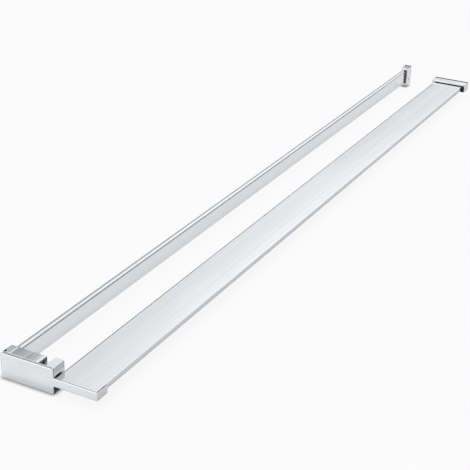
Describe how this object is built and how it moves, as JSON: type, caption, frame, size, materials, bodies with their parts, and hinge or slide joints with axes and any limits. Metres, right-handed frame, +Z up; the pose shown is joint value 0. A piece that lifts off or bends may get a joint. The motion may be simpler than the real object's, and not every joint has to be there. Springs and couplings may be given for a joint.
{
  "type": "towel rack with shelf",
  "caption": "Long chrome towel bar and flat shelf joined by a clamp for a glass panel's edge, each with a sliding wall socket.",
  "frame": {"origin": "centre of the underside of the whole rack's box, in the plane that the bracket stands on", "axes": "+Y runs along the bar and the shelf from the clamp bracket to the wall, +X runs across from the bar to the shelf, +Z is up"},
  "size_m": [0.148, 1.36, 0.0419],
  "materials": {
    "chrome": "polished",
    "aluminium": "bright",
    "steel": "plated",
    "rubber": "matte",
    "black_plastic": "matte"
  },
  "bodies": {
    "rack": {"end_cover": "chrome", "cover_bush_1": "black_plastic", "cover_bush_2": "black_plastic", "carrier_plate": "steel", "jaw_screw_1": "steel", "jaw_screw_2": "steel", "jaw_screw_3": "steel", "jaw_screw_4": "steel", "outer_jaw": "chrome", "inner_jaw": "chrome", "inner_glass_pad": "rubber", "guide_pin_1": "steel", "guide_pin_2": "steel", "bar_end_screw_1": "steel", "bar_end_screw_2": "steel", "towel_bar": "aluminium", "shelf": "aluminium", "shelf_end_screw_1": "steel", "shelf_end_screw_2": "steel", "shelf_end_screw_3": "steel"},
    "clamp_shoe": {"pressure_block": "chrome", "shoe_plate": "chrome", "shoe_screw_1": "steel", "shoe_screw_2": "steel", "outer_glass_pad": "rubber"},
    "clamp_screw": {"clamp_screw": "steel"},
    "bar_socket": {"bar_wall_socket": "chrome", "bar_socket_liner": "black_plastic", "bar_wall_seal": "rubber", "bar_set_screw": "steel"},
    "shelf_socket": {"shelf_wall_socket": "chrome", "shelf_socket_liner": "black_plastic", "shelf_wall_seal": "rubber", "shelf_set_screw_1": "steel", "shelf_set_screw_2": "steel"}
  },
  "joints": [
    {"name": "clamp_slide", "type": "slide", "parent": "rack", "child": "clamp_shoe", "axis": [1, 0, 0], "range_m": [0, 0.0032]},
    {"name": "clamp_screw_turn", "type": "hinge", "parent": "clamp_shoe", "child": "clamp_screw", "pos_m": [-0.071, -0.66575, 0.0225], "axis": [1, 0, 0], "range_deg": [0, 1155]},
    {"name": "bar_socket_slide", "type": "slide", "parent": "rack", "child": "bar_socket", "axis": [0, 1, 0], "range_m": [-0.0035, 0.003]},
    {"name": "shelf_socket_slide", "type": "slide", "parent": "rack", "child": "shelf_socket", "axis": [0, 1, 0], "range_m": [-0.0035, 0.003]}
  ],
  "couplings": [
    {"joint": "clamp_screw_turn", "follows": "clamp_slide", "rad_per_m": 6283.2}
  ]
}
